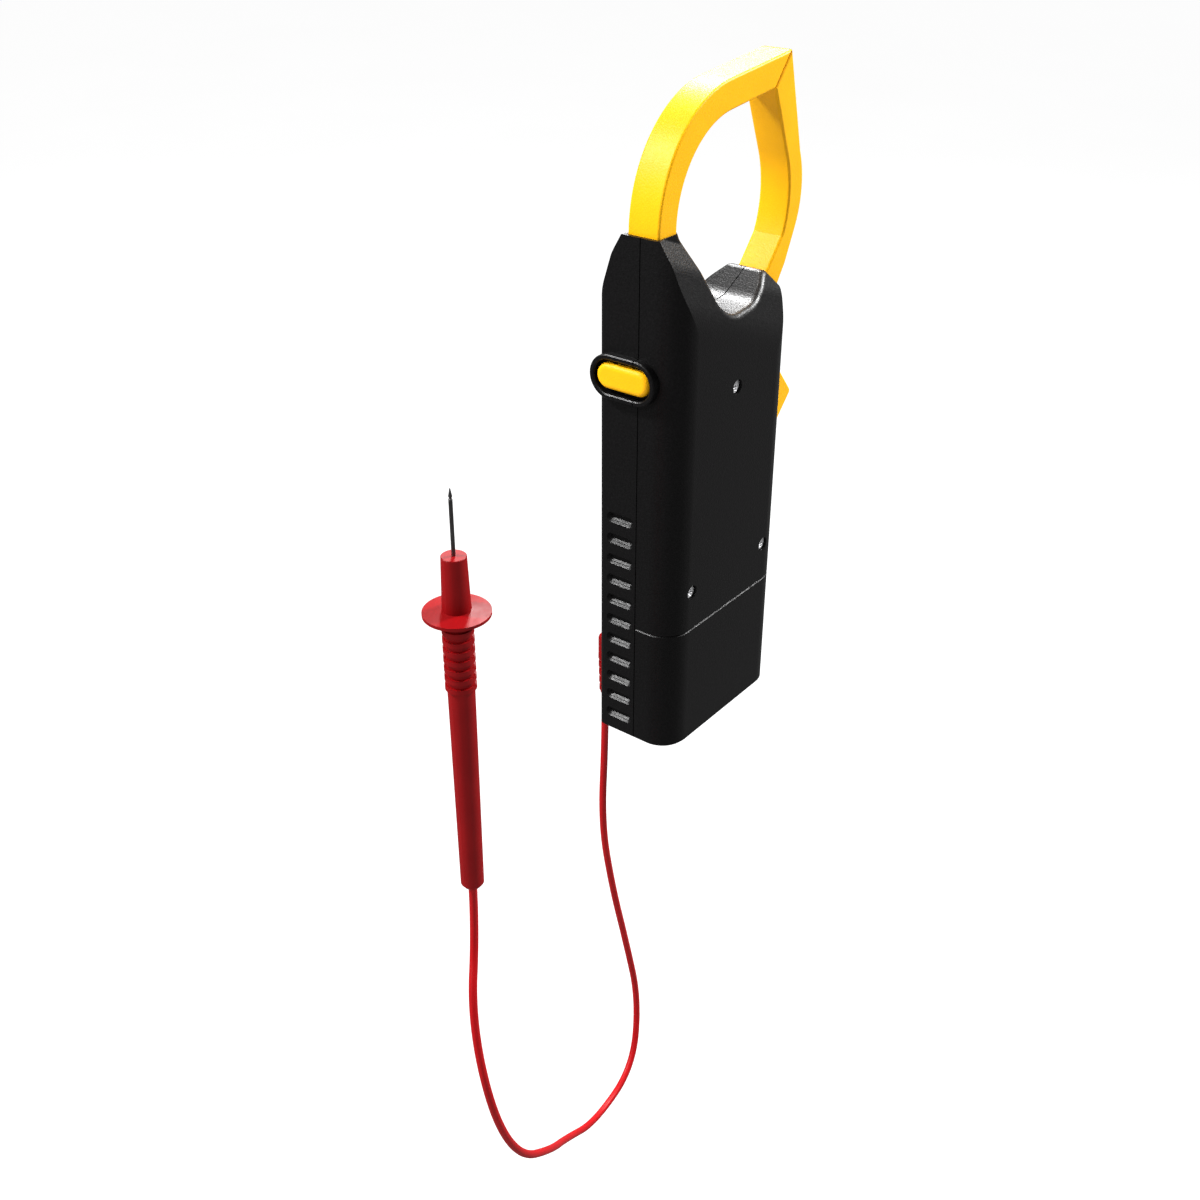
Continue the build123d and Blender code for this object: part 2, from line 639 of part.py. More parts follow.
with BuildPart() as hold_button:
    with BuildSketch(facing_right(BUTTON_CAP_BOTTOM)):
        add(button_slot(BUTTON_CENTRE_Y, BUTTON_SIZE, 0))
    extrude(amount=BUTTON_CAP_TOP - BUTTON_CAP_BOTTOM)
    fillet(hold_button.faces().sort_by(Axis.X)[-1].edges(), BUTTON_CAP_EDGE)
    with BuildSketch(facing_right(BUTTON_STEM_END)):
        add(button_slot(BUTTON_STEM_Y, BUTTON_STEM_SIZE, 0))
    extrude(amount=BUTTON_CAP_BOTTOM - BUTTON_STEM_END)
    with BuildSketch(facing_right(BUTTON_STEM_END)):
        add(button_slot(BUTTON_STEM_Y, BUTTON_STEM_SIZE, 3.0))
    extrude(amount=1.4)
    with BuildSketch(facing_right(27.6)):
        with Locations((BUTTON_STEM_Y, BUTTON_HEIGHT)):
            Circle(2.2)
    extrude(amount=3.3)
save(hold_button, "hold_button")

with BuildPart() as hold_switch:
    add(block((22.4, SWITCH_SIDE), (BOARD_BACK, -0.6), (BUTTON_HEIGHT - 3.1, BUTTON_HEIGHT + 3.1)))
    with BuildSketch(facing_right(SWITCH_SIDE)):
        with Locations((BUTTON_STEM_Y, BUTTON_HEIGHT)):
            Circle(1.6)
    extrude(amount=0.7)
save(hold_switch, "hold_switch")

# ---------------------------------------------------------------- front controls

with BuildPart() as rotary_knob:
    with BuildSketch(facing_front(-HALF_DEPTH - 0.3)):
        with Locations((0, KNOB_HEIGHT)):
            Circle(KNOB_RADIUS)
    extrude(amount=1.6)
    chamfer(rotary_knob.faces().sort_by(Axis.Y)[0].edges(), 0.7)
    with BuildSketch(facing_front(-HALF_DEPTH - 1.8)):
        with Locations((0, KNOB_HEIGHT)):
            SlotOverall(2 * KNOB_RADIUS - 3, 8.5, rotation=90)
    extrude(amount=3.7, taper=6)
    with BuildSketch(facing_front(-HALF_DEPTH - 0.3)):
        with Locations((0, KNOB_HEIGHT)):
            Circle(KNOB_SHAFT_RADIUS)
    extrude(amount=-2.5)
    with BuildSketch(facing_front(-HALF_DEPTH - 5.0)):
        with Locations((0, KNOB_HEIGHT + KNOB_RADIUS - 5.5)):
            Rectangle(1.2, 5.0)
    extrude(amount=1.0, mode=Mode.SUBTRACT)
save(rotary_knob, "rotary_knob")

rotor_front = INNER_FRONT + 0.2
rotor_middle = rotor_front + ROTOR_THICKNESS / 2
with BuildPart() as knob_rotor:
    with BuildSketch(facing_front(rotor_front + ROTOR_THICKNESS)):
        with Locations((0, KNOB_HEIGHT)):
            Circle(ROTOR_RADIUS)
    extrude(amount=ROTOR_THICKNESS)
    with BuildSketch(facing_front(rotor_front + ROTOR_THICKNESS)):
        with Locations((0, KNOB_HEIGHT)):
            Circle(2.0)
    extrude(amount=0.8, mode=Mode.SUBTRACT)
    for side in (-1, 1):
        with BuildSketch(facing_right(side * (ROTOR_RADIUS + 0.1))):
            with Locations((rotor_middle, KNOB_HEIGHT)):
                Circle(POCKET_RADIUS)
        extrude(amount=-side * 4.0, mode=Mode.SUBTRACT)
save(knob_rotor, "knob_rotor")

with BuildPart() as rotor_contacts:
    with BuildSketch(facing_front(BOARD_FRONT - 0.1)):
        with Locations((0, KNOB_HEIGHT)):
            for radius in (3.2, 5.6):
                with PolarLocations(radius, 3):
                    Rectangle(1.2, 2.6)
    extrude(amount=1.7)
save(rotor_contacts, "rotor_contacts")

with BuildPart() as detent_balls:
    for side in (-1, 1):
        with Locations((side * (ROTOR_RADIUS - 0.55), rotor_middle, KNOB_HEIGHT - GRIP_HEIGHT)):
            Sphere(POCKET_RADIUS - 0.05)
save(detent_balls, "detent_balls")

with BuildPart() as detent_springs:
    for side in (-1, 1):
        with BuildLine():
            winding = Helix(pitch=0.42, height=2.3, radius=0.5, direction=(side, 0, 0),
                            center=(side * (ROTOR_RADIUS - 3.7), rotor_middle, KNOB_HEIGHT - GRIP_HEIGHT))
        with BuildSketch(Plane(origin=winding @ 0, z_dir=winding % 0)):
            Circle(0.13)
        sweep(path=winding, is_frenet=True)
save(detent_springs, "detent_springs")

with BuildPart() as detent_ring:
    with BuildSketch(facing_front(rotor_front + ROTOR_THICKNESS)):
        with Locations((0, KNOB_HEIGHT)):
            Circle(12.9)
            Circle(ROTOR_RADIUS + 0.3, mode=Mode.SUBTRACT)
            with PolarLocations(ROTOR_RADIUS + 0.3, 2 * DETENT_COUNT):
                Circle(POCKET_RADIUS, mode=Mode.SUBTRACT)
    extrude(amount=ROTOR_THICKNESS + 0.15)
save(detent_ring, "detent_ring")

with BuildPart() as lcd_window:
    with BuildSketch(facing_front(-HALF_DEPTH + WINDOW_THICKNESS)):
        with Locations((0, WINDOW_HEIGHT)):
            RectangleRounded(*WINDOW_SIZE, 2.0)
    extrude(amount=WINDOW_THICKNESS)
save(lcd_window, "lcd_window")

with BuildPart() as lcd_glass:
    with BuildSketch(facing_front(INNER_FRONT + 2.6)):
        with Locations((0, WINDOW_HEIGHT)):
            Rectangle(*DISPLAY_SIZE)
    extrude(amount=2.4)
save(lcd_glass, "lcd_glass")

with BuildPart() as lcd_frame:
    with BuildSketch(facing_front(BOARD_FRONT)):
        with Locations((0, WINDOW_HEIGHT)):
            Rectangle(DISPLAY_SIZE[0] + 3.6, DISPLAY_SIZE[1] + 2.4)
            Rectangle(DISPLAY_SIZE[0] + 0.2, DISPLAY_SIZE[1] + 0.2, mode=Mode.SUBTRACT)
    extrude(amount=4.0)
save(lcd_frame, "lcd_frame")

with BuildPart() as lcd_contact_strips:
    with BuildSketch(facing_front(BOARD_FRONT)):
        for side in (-1, 1):
            with Locations((0, WINDOW_HEIGHT + side * (DISPLAY_SIZE[1] / 2 - 1.5))):
                Rectangle(DISPLAY_SIZE[0] - 4, 2.2)
    extrude(amount=BOARD_FRONT - INNER_FRONT - 2.6)
save(lcd_contact_strips, "lcd_contact_strips")

# ---------------------------------------------------------------- board and what sits on it

with BuildPart() as main_board:
    with BuildSketch(facing_front(BOARD_BACK)):
        with Locations((0, 68.0)):
            RectangleRounded(62.0, 128.0, 2.0)
        with Locations((14.5, 140.5)):
            Rectangle(25.0, 19.0)
        for x, height in CASE_SCREWS:
            with Locations((x, height)):
                Circle(BOSS_RADIUS + 0.3, mode=Mode.SUBTRACT)
        for x, height in BOARD_SCREWS:
            with Locations((x, height)):
                Circle(1.3, mode=Mode.SUBTRACT)
        for index in (-1, 0, 1):
            with Locations((index * JACK_PITCH, JACK_HEIGHT)):
                Circle(JACK_OUTER_RADIUS, mode=Mode.SUBTRACT)
    extrude(amount=BOARD_THICKNESS)
save(main_board, "main_board")

with BuildPart() as board_screws:
    for x, height in BOARD_SCREWS:
        add(rod_y(x, height, 2.1, BOARD_BACK, BOARD_BACK + 1.3))
        add(rod_y(x, height, 1.0, BOARD_BACK - 4.0, BOARD_BACK))
save(board_screws, "board_screws")

with BuildPart() as meter_chip:
    with BuildSketch(facing_front(BOARD_BACK + 1.6)):
        with Locations((2.0, 80.0)):
            Circle(7.0)
    extrude(amount=1.6)
    chamfer(meter_chip.faces().sort_by(Axis.Y)[-1].edges(), 1.1)
save(meter_chip, "meter_chip")

with BuildPart() as amplifier_chips:
    for x, height in ((-6.0, 62.0), (6.0, 62.0)):
        add(block((x - 1.95, x + 1.95), (BOARD_BACK, BOARD_BACK + 1.5), (height - 2.45, height + 2.45)))
save(amplifier_chips, "amplifier_chips")

with BuildPart() as resistors:
    for row in range(6):
        for x in (16.0, 24.0):
            with BuildSketch(facing_right(x - 3.0)):
                with Locations((BOARD_BACK + 1.1, 69.0 + 3.4 * row)):
                    Circle(1.1)
            extrude(amount=6.0)
save(resistors, "resistors")

with BuildPart() as capacitors:
    for x, height in ((-14.0, 53.0), (-6.0, 53.0), (8.0, 53.0)):
        add(rod_y(x, height, 2.5, BOARD_BACK, BOARD_BACK + 7.0))
save(capacitors, "capacitors")

with BuildPart() as trimmer:
    add(block((-20.0, -13.6), (BOARD_BACK, BOARD_BACK + 4.8), (68.0, 74.4)))
    add(rod_y(-16.8, 71.2, 1.2, BOARD_BACK + 4.3, BOARD_BACK + 6), mode=Mode.SUBTRACT)
save(trimmer, "trimmer")

with BuildPart() as protection_thermistor:
    with BuildSketch(facing_right(18.0)):
        with Locations((BOARD_BACK + 4.2, 53.5)):
            Circle(4.2)
    extrude(amount=2.8)
save(protection_thermistor, "protection_thermistor")

with BuildPart() as buzzer:
    add(rod_y(14.0, 110.0, 8.0, BOARD_BACK, BOARD_BACK + 4.0))
    add(rod_y(14.0, 110.0, 1.0, BOARD_BACK + 2.0, BOARD_BACK + 5.0), mode=Mode.SUBTRACT)
save(buzzer, "buzzer")

# ---------------------------------------------------------------- jacks

for index, name in ((-1, "jack_ext"), (0, "jack_com"), (1, "jack_volt")):
    with BuildPart() as jack:
        jack_x = index * JACK_PITCH
        add(rod_y(jack_x, JACK_HEIGHT, JACK_OUTER_RADIUS, -HALF_DEPTH + 0.8, JACK_END_Y))
        add(rod_y(jack_x, JACK_HEIGHT, 3.9, BOARD_FRONT - 1.0, BOARD_FRONT))
        add(rod_y(jack_x, JACK_HEIGHT, JACK_BORE_RADIUS, -HALF_DEPTH, JACK_END_Y - 0.6),
            mode=Mode.SUBTRACT)
    save(jack, name)

# ---------------------------------------------------------------- battery

with BuildPart() as battery:
    add(block(BATTERY_X, BATTERY_Y, BATTERY_HEIGHTS))
    fillet(battery.edges().filter_by(Axis.X), 1.6)
save(battery, "battery")

terminal_y = span(*BATTERY_Y)
battery_middle = span(*BATTERY_HEIGHTS)
with BuildPart() as battery_terminals:
    with BuildSketch(facing_right(BATTERY_X[1])):
        with Locations((terminal_y, battery_middle + 6.35)):
            Circle(2.9)
        with Locations((terminal_y, battery_middle - 6.35)):
            RegularPolygon(4.2, 6)
    extrude(amount=2.9)
save(battery_terminals, "battery_terminals")

with BuildPart() as battery_snap:
    with BuildSketch(facing_right(BATTERY_X[1] + 3.0)):
        with Locations((terminal_y - 0.6, battery_middle)):
            SlotOverall(25.0, 11.0, rotation=90)
    extrude(amount=3.0)
save(battery_snap, "battery_snap")

with BuildPart() as foam_pad:
    add(block((-22.0, 22.0), (BOARD_BACK, BATTERY_Y[0] - 0.1), (31.5, 40.0)))
save(foam_pad, "foam_pad")


def tube(points, radii, radius):
    """Round tube along straight runs joined by arcs, from (x, y, height) points."""
    corners = [Vector(x, y, height - GRIP_HEIGHT) for x, y, height in points]
    with BuildPart() as pipe:
        with BuildLine() as path:
            FilletPolyline(*corners, radius=radii)
        with BuildSketch(Plane(origin=path.wire() @ 0, z_dir=path.wire() % 0)):
            Circle(radius)
        sweep(path=path.wire())
    return pipe.part, path.wire().length


with BuildPart() as battery_wires:
    for shift in (0, 1.6):
        snap_top = battery_middle + 12.5
        route = [(27.2 + shift, terminal_y - 0.6, snap_top),
                 (27.2 + shift, terminal_y - 0.6, 43.0 + shift),
                 (27.2 + shift, BOARD_BACK, 43.0 + shift)]
        add(tube(route, [2.0], 0.6)[0])
save(battery_wires, "battery_wires")

with BuildPart() as coil_leads:
    for shift in (-1.0, 1.0):
        route = [(core_x + shift, 3.9, JAW_ROOT_HEIGHT + 1), (core_x + shift, 3.9, 151.5),
                 (core_x - 4.0 + shift, 3.9, 147.5), (core_x - 4.0 + shift, BOARD_BACK, 147.5)]
        add(tube(route, [1.2, 1.2], 0.35)[0])
save(coil_leads, "coil_leads")

# ---------------------------------------------------------------- plug, lead and probe

with BuildPart() as plug_pin:
    add(rod_y(JACK_PITCH, JACK_HEIGHT, PLUG_PIN_RADIUS, -HALF_DEPTH - 2.0, JACK_END_Y - 0.9))
    chamfer(plug_pin.faces().sort_by(Axis.Y)[-1].edges(), 0.5)
save(plug_pin, "plug_pin")

with BuildPart() as plug_body:
    with BuildSketch(level(RELIEF_TOP)):
        with Locations((JACK_PITCH, PLUG_AXIS_Y)):
            Circle(PLUG_RADIUS)
    extrude(amount=PLUG_LENGTH)
    fillet(plug_body.faces().sort_by(Axis.Z)[-1].edges(), PLUG_CROWN)
    with BuildSketch(facing_front(-HALF_DEPTH - 0.3)):
        with Locations((JACK_PITCH, JACK_HEIGHT)):
            Circle(PLUG_NECK_RADIUS)
    extrude(amount=-PLUG_AXIS_Y - HALF_DEPTH - 0.3)
    add(rod_y(JACK_PITCH, JACK_HEIGHT, PLUG_PIN_RADIUS, -HALF_DEPTH - 2.0, 0), mode=Mode.SUBTRACT)
save(plug_body, "plug_body")

with BuildPart() as strain_relief:
    with BuildSketch(level(RELIEF_TOP)):
        with Locations((JACK_PITCH, PLUG_AXIS_Y)):
            Circle(RELIEF_CORE_RADIUS)
    extrude(amount=RELIEF_BOTTOM - RELIEF_TOP, taper=1)
    rib_pitch = (RELIEF_TOP - RELIEF_BOTTOM) / RIB_COUNT
    for index in range(RIB_COUNT):
        with BuildSketch(level(RELIEF_TOP - index * rib_pitch)):
            with Locations((JACK_PITCH, PLUG_AXIS_Y)):
                Circle(RELIEF_RADIUS - 0.1 * index)
        extrude(amount=-0.62 * rib_pitch)
save(strain_relief, "strain_relief")

radii = []
route_points = [Vector(*point) for point in LEAD_ROUTE]
for before, corner, after in zip(route_points, route_points[1:], route_points[2:]):
    turn = radians((corner - before).get_angle(after - corner))
    shorter = min((corner - before).length, (after - corner).length)
    radii.append(0.45 * shorter / tan(turn / 2))
print("lead radii", [round(radius, 1) for radius in radii])
lead_part, lead_length = tube(LEAD_ROUTE, radii, LEAD_DIAMETER / 2)
with BuildPart() as test_lead:
    add(lead_part)
lead_section = pi * LEAD_DIAMETER ** 2 / 4
print("lead length", round(lead_length, 1), "volume ratio",
      round(test_lead.part.volume / (lead_section * lead_length), 4))
save(test_lead, "test_lead")

needle_bottom = PROBE_NOSE_TOP - NEEDLE_TANG_LENGTH
with BuildPart() as probe_handle:
    with BuildSketch(facing_front(PROBE_Y)):
        with BuildLine():
            Polyline((PROBE_X, PROBE_BOTTOM), (PROBE_X + 2.9, PROBE_BOTTOM),
                     (PROBE_X + 3.75, PROBE_BOTTOM + 1.2), (PROBE_X + 4.15, PROBE_GRIP_BOTTOM),
                     (PROBE_X + 4.15, PROBE_FLANGE_HEIGHT - 1.0),
                     (PROBE_X + PROBE_FLANGE_RADIUS, PROBE_FLANGE_HEIGHT - 0.7),
                     (PROBE_X + PROBE_FLANGE_RADIUS, PROBE_FLANGE_HEIGHT + 0.3),
                     (PROBE_X + 4.3, PROBE_FLANGE_HEIGHT + 1.0), (PROBE_X + 3.75, PROBE_NOSE_TOP - 0.15),
                     (PROBE_X + 3.6, PROBE_NOSE_TOP), (PROBE_X, PROBE_NOSE_TOP),
                     (PROBE_X, PROBE_BOTTOM))
        make_face()
    revolve(axis=Axis((PROBE_X, PROBE_Y, 0), (0, 0, 1)))
    for index in range(GRIP_RING_COUNT):
        ring_height = PROBE_GRIP_BOTTOM + 1.0 + GRIP_RING_PITCH * index
        with BuildSketch(level(ring_height)):
            with Locations((PROBE_X, PROBE_Y)):
                Circle(GRIP_RING_RADIUS)
                Circle(GRIP_RING_RADIUS - 0.85, mode=Mode.SUBTRACT)
        extrude(amount=GRIP_RING_HEIGHT)
    with BuildSketch(level(needle_bottom)):
        with Locations((PROBE_X, PROBE_Y)):
            Circle(NEEDLE_TANG_RADIUS)
    extrude(amount=30, mode=Mode.SUBTRACT)
save(probe_handle, "probe_handle")

with BuildPart() as probe_needle:
    with BuildSketch(facing_front(PROBE_Y)):
        with BuildLine():
            Polyline((PROBE_X, needle_bottom), (PROBE_X + NEEDLE_TANG_RADIUS, needle_bottom),
                     (PROBE_X + NEEDLE_TANG_RADIUS, PROBE_NOSE_TOP),
                     (PROBE_X + NEEDLE_RADIUS, PROBE_NOSE_TOP),
                     (PROBE_X + NEEDLE_RADIUS, PROBE_TIP - 3.4), (PROBE_X + 0.42, PROBE_TIP - 3.1),
                     (PROBE_X + 0.42, PROBE_TIP - 2.8), (PROBE_X + NEEDLE_RADIUS, PROBE_TIP - 2.5),
                     (PROBE_X + 0.12, PROBE_TIP), (PROBE_X, PROBE_TIP), (PROBE_X, needle_bottom))
        make_face()
    revolve(axis=Axis((PROBE_X, PROBE_Y, 0), (0, 0, 1)))
save(probe_needle, "probe_needle")
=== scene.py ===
import json
import math

import bpy
from mathutils import Matrix, Vector


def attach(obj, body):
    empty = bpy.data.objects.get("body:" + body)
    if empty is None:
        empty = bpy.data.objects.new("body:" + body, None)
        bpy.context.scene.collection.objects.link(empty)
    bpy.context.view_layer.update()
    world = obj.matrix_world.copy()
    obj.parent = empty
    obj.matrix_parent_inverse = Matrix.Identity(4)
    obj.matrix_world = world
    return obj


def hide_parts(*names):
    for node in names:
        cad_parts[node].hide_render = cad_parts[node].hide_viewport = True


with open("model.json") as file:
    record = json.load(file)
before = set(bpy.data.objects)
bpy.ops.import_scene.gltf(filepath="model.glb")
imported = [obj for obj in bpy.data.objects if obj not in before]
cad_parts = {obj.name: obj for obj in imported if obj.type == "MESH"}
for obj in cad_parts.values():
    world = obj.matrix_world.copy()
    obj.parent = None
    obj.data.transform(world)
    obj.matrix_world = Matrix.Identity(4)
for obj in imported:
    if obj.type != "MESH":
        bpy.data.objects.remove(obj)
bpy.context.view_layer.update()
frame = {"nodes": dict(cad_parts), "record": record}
nodes = frame["nodes"]

MM = 0.001
GRIP_HEIGHT = 70.0


def at(x, y, height):
    """Point in metres from millimetres, with its height measured from the bottom of the case."""
    return Vector((x, y, height - GRIP_HEIGHT)) * MM


# ---------------------------------------------------------------- camera and light

CAMERA_PLACE = at(383.71, 255.76, 312.07)
CAMERA_AZIMUTH = math.radians(127.82)
CAMERA_ELEVATION = math.radians(30.33)
CAMERA_LENS = 43.455
SENSOR = 36.0
CLIP = (0.01, 200)
WORLD_STRENGTH = 0.2


def make_camera():
    """Camera behind and to the right of the meter, looking down at it."""
    data = bpy.data.cameras.new("camera")
    data.lens = CAMERA_LENS
    data.sensor_width = SENSOR
    data.clip_start, data.clip_end = CLIP
    camera = bpy.data.objects.new("camera", data)
    bpy.context.scene.collection.objects.link(camera)
    forward = Vector((-math.sin(CAMERA_AZIMUTH) * math.cos(CAMERA_ELEVATION),
                      math.cos(CAMERA_AZIMUTH) * math.cos(CAMERA_ELEVATION),
                      -math.sin(CAMERA_ELEVATION)))
    camera.location = CAMERA_PLACE
    camera.rotation_euler = forward.to_track_quat("-Z", "Y").to_euler()
    bpy.context.scene.camera = camera


def area_light(name, place, target, size, power):
    """White round lamp aimed at a target."""
    data = bpy.data.lights.new(name, "AREA")
    data.shape = "DISK"
    data.size = size
    data.energy = power
    light = bpy.data.objects.new(name, data)
    bpy.context.scene.collection.objects.link(light)
    light.location = place
    direction = Vector(target) - Vector(place)
    light.rotation_euler = direction.to_track_quat("-Z", "Y").to_euler()


# Name, place, target, diameter and power. Key and edge stand on the hold button's side, and edge lights the
# upward-facing ledges of the grip slots. Rim and back stand behind, and bring out the rims and the valley.
LIGHTS = [
    ("key", (1.5, -0.25, 0.95), (0, 0, 0.03), 0.6, 15),
    ("edge", (0.75, -0.85, 1.15), (0, 0, 0.03), 0.3, 48),
    ("rim", (-1.1, 0.6, 1.0), (0, 0, 0.08), 0.28, 62),
    ("back", (-1.05, -0.8, 1.15), (0, 0, 0.05), 0.35, 46),
]


def make_lights():
    """Four soft lamps and a dim white surrounding."""
    for light in LIGHTS:
        area_light(*light)
    world = bpy.data.worlds.new("studio")
    world.use_nodes = True
    background = world.node_tree.nodes["Background"]
    background.inputs["Color"].default_value = (1, 1, 1, 1)
    background.inputs["Strength"].default_value = WORLD_STRENGTH
    bpy.context.scene.world = world
    bpy.context.scene.view_settings.view_transform = "Standard"


# ---------------------------------------------------------------- materials

class Shader:
    """Small helper that builds the node tree of one procedural material."""

    def __init__(self, name):
        self.material = bpy.data.materials.new(name)
        self.material.use_nodes = True
        self.tree = self.material.node_tree
        self.surface = self.tree.nodes["Principled BSDF"]
        self.coordinates = self.tree.nodes.new("ShaderNodeTexCoord").outputs["Object"]

    def link(self, source, target):
        self.tree.links.new(source, target)

    def set(self, **values):
        """Constant values, with the spaces of socket names written as underscores."""
        for socket, value in values.items():
            self.surface.inputs[socket.replace("_", " ")].default_value = value
        return self

    def noise(self, scale, detail=2.0, roughness=0.5):
        node = self.tree.nodes.new("ShaderNodeTexNoise")
        node.inputs["Scale"].default_value = scale
        node.inputs["Detail"].default_value = detail
        node.inputs["Roughness"].default_value = roughness
        self.link(self.coordinates, node.inputs["Vector"])
        return node.outputs["Fac"]

    def cells(self, scale):
        """Distance to the middle of the nearest of many small cells."""
        node = self.tree.nodes.new("ShaderNodeTexVoronoi")
        node.inputs["Scale"].default_value = scale
        self.link(self.coordinates, node.inputs["Vector"])
        return node.outputs["Distance"]

    def colour(self, source, low, high, start=0.3, end=0.7):
        """Base colour that goes from low to high with a source."""
        node = self.tree.nodes.new("ShaderNodeValToRGB")
        first, last = node.color_ramp.elements
        first.position, last.position = start, end
        first.color, last.color = (*low, 1), (*high, 1)
        self.link(source, node.inputs["Fac"])
        self.link(node.outputs["Color"], self.surface.inputs["Base Color"])
        return self

    def rough(self, source, low, high):
        """Roughness that goes from low to high with a source."""
        node = self.tree.nodes.new("ShaderNodeMapRange")
        node.inputs["To Min"].default_value = low
        node.inputs["To Max"].default_value = high
        self.link(source, node.inputs["Value"])
        self.link(node.outputs["Result"], self.surface.inputs["Roughness"])
        return self

    def bump(self, source, strength, distance):
        """Fine relief on top of any relief that is already there; distance in metres."""
        node = self.tree.nodes.new("ShaderNodeBump")
        node.inputs["Strength"].default_value = strength
        node.inputs["Distance"].default_value = distance
        self.link(source, node.inputs["Height"])
        previous = self.surface.inputs["Normal"]
        if previous.is_linked:
            self.link(previous.links[0].from_socket, node.inputs["Normal"])
        self.link(node.outputs["Normal"], self.surface.inputs["Normal"])
        return self


def plastic(name, dark, light, roughness, grain=1800, strength=0.35, specular=0.3):
    """Moulded plastic: two close tones, and a fine grain."""
    shader = Shader(name)
    shader.colour(shader.noise(90, 4), dark, light)
    shader.rough(shader.noise(500, 3), roughness - 0.06, roughness + 0.08)
    shader.bump(shader.noise(grain, 3, 0.6), strength, 0.00012)
    shader.set(Specular_IOR_Level=specular)
    return shader.material


def metal(name, dark, light, roughness, scratch=900, metallic=1.0):
    """Bare metal with faint tarnish and scratches."""
    shader = Shader(name)
    shader.set(Metallic=metallic)
    shader.colour(shader.noise(300, 4), dark, light)
    shader.rough(shader.noise(scratch, 5), roughness - 0.08, roughness + 0.12)
    shader.bump(shader.noise(scratch * 2, 4), 0.08, 0.00005)
    return shader.material


def spark_grain(name, dark, light, roughness, specular):
    """Black spark-eroded plastic: a dense grain of small shiny bumps."""
    shader = Shader(name)
    shader.colour(shader.noise(1400, 3), dark, light, 0.35, 0.7)
    shader.rough(shader.noise(900, 3), roughness - 0.1, roughness + 0.12)
    shader.bump(shader.cells(1700), 0.5, 0.0001)
    shader.bump(shader.noise(2800, 3, 0.7), 0.3, 0.00006)
    shader.set(Specular_IOR_Level=specular)
    return shader.material


def make_materials():
    """Every finish by name: the record's slots, and a few for prints and the cord."""
    made = {
        "case_black": spark_grain("case_black", (0.0014, 0.0013, 0.0014), (0.0030, 0.0028, 0.0030),
                                  0.38, 0.21),
        "jaw_yellow": plastic("jaw_yellow", (0.67, 0.325, 0.0015), (0.72, 0.355, 0.002),
                              0.42, 1500, 0.8, 0.11),
        "lead_red": plastic("lead_red", (0.165, 0.0015, 0.0025), (0.19, 0.002, 0.003),
                            0.42, 1300, 0.12, 0.08),
        "cord_red": plastic("cord_red", (0.27, 0.0025, 0.004), (0.31, 0.003, 0.005), 0.4, 1300, 0.1, 0.1),
        "steel": metal("steel", (0.50, 0.50, 0.52), (0.62, 0.62, 0.64), 0.3),
        "screw_chrome": metal("screw_chrome", (0.62, 0.62, 0.63), (0.78, 0.78, 0.79), 0.3, metallic=0.55),
        "needle_steel": metal("needle_steel", (0.10, 0.095, 0.095), (0.15, 0.145, 0.145), 0.35),
        "brass": metal("brass", (0.72, 0.50, 0.20), (0.80, 0.58, 0.26), 0.25),
        "copper": metal("copper", (0.60, 0.24, 0.10), (0.72, 0.33, 0.15), 0.3),
        "core_steel": metal("core_steel", (0.34, 0.35, 0.37), (0.42, 0.43, 0.45), 0.35),
        "board_green": plastic("board_green", (0.01, 0.10, 0.035), (0.02, 0.14, 0.05), 0.35, 700, 0.05),
        "chip_black": plastic("chip_black", (0.012, 0.012, 0.012), (0.02, 0.02, 0.02), 0.5),
        "component_blue": plastic("component_blue", (0.02, 0.07, 0.3), (0.03, 0.10, 0.4), 0.3, 800, 0.05),
        "grey_plastic": plastic("grey_plastic", (0.20, 0.21, 0.22), (0.25, 0.26, 0.27), 0.5),
        "knob_grey": plastic("knob_grey", (0.03, 0.03, 0.033), (0.04, 0.04, 0.043), 0.45),
        "display_glass": plastic("display_glass", (0.30, 0.34, 0.27), (0.33, 0.37, 0.30), 0.18, 300, 0.02),
        "foam_grey": plastic("foam_grey", (0.05, 0.05, 0.055), (0.09, 0.09, 0.10), 0.9, 900, 0.9),
        "battery_wrap": metal("battery_wrap", (0.04, 0.08, 0.2), (0.06, 0.11, 0.26), 0.35),
        "wire": plastic("wire", (0.02, 0.02, 0.02), (0.03, 0.03, 0.03), 0.45),
        "print_white": plastic("print_white", (0.72, 0.72, 0.70), (0.80, 0.80, 0.78), 0.5, 1500, 0.05),
        "segment_ink": plastic("segment_ink", (0.010, 0.012, 0.012), (0.016, 0.018, 0.018), 0.3, 800, 0.03),
    }
    window = Shader("clear_window")
    window.set(Base_Color=(0.93, 0.96, 0.95, 1), Roughness=0.04, Transmission_Weight=1.0, IOR=1.49)
    window.bump(window.noise(60, 1), 0.02, 0.0001)
    made["clear_window"] = window.material
    return made


# ---------------------------------------------------------------- small mesh helpers

def add_mesh(name, vertices, faces, material, body, smooth_angle=None):
    """New object from vertices in metres, painted and carried by a body."""
    mesh = bpy.data.meshes.new(name)
    mesh.from_pydata([tuple(vertex) for vertex in vertices], [], faces)
    mesh.validate()
    mesh.update()
    made = bpy.data.objects.new(name, mesh)
    bpy.context.scene.collection.objects.link(made)
    mesh.materials.append(material)
    if smooth_angle:
        mesh.shade_smooth()
        mesh.set_sharp_from_angle(angle=math.radians(smooth_angle))
    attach(made, body)
    return made


DOT_SIDES = 20
PRINT_THICKNESS = 0.06


def circle(steps):
    """Angles once round, evenly spaced."""
    return [2 * math.pi * index / steps for index in range(steps)]


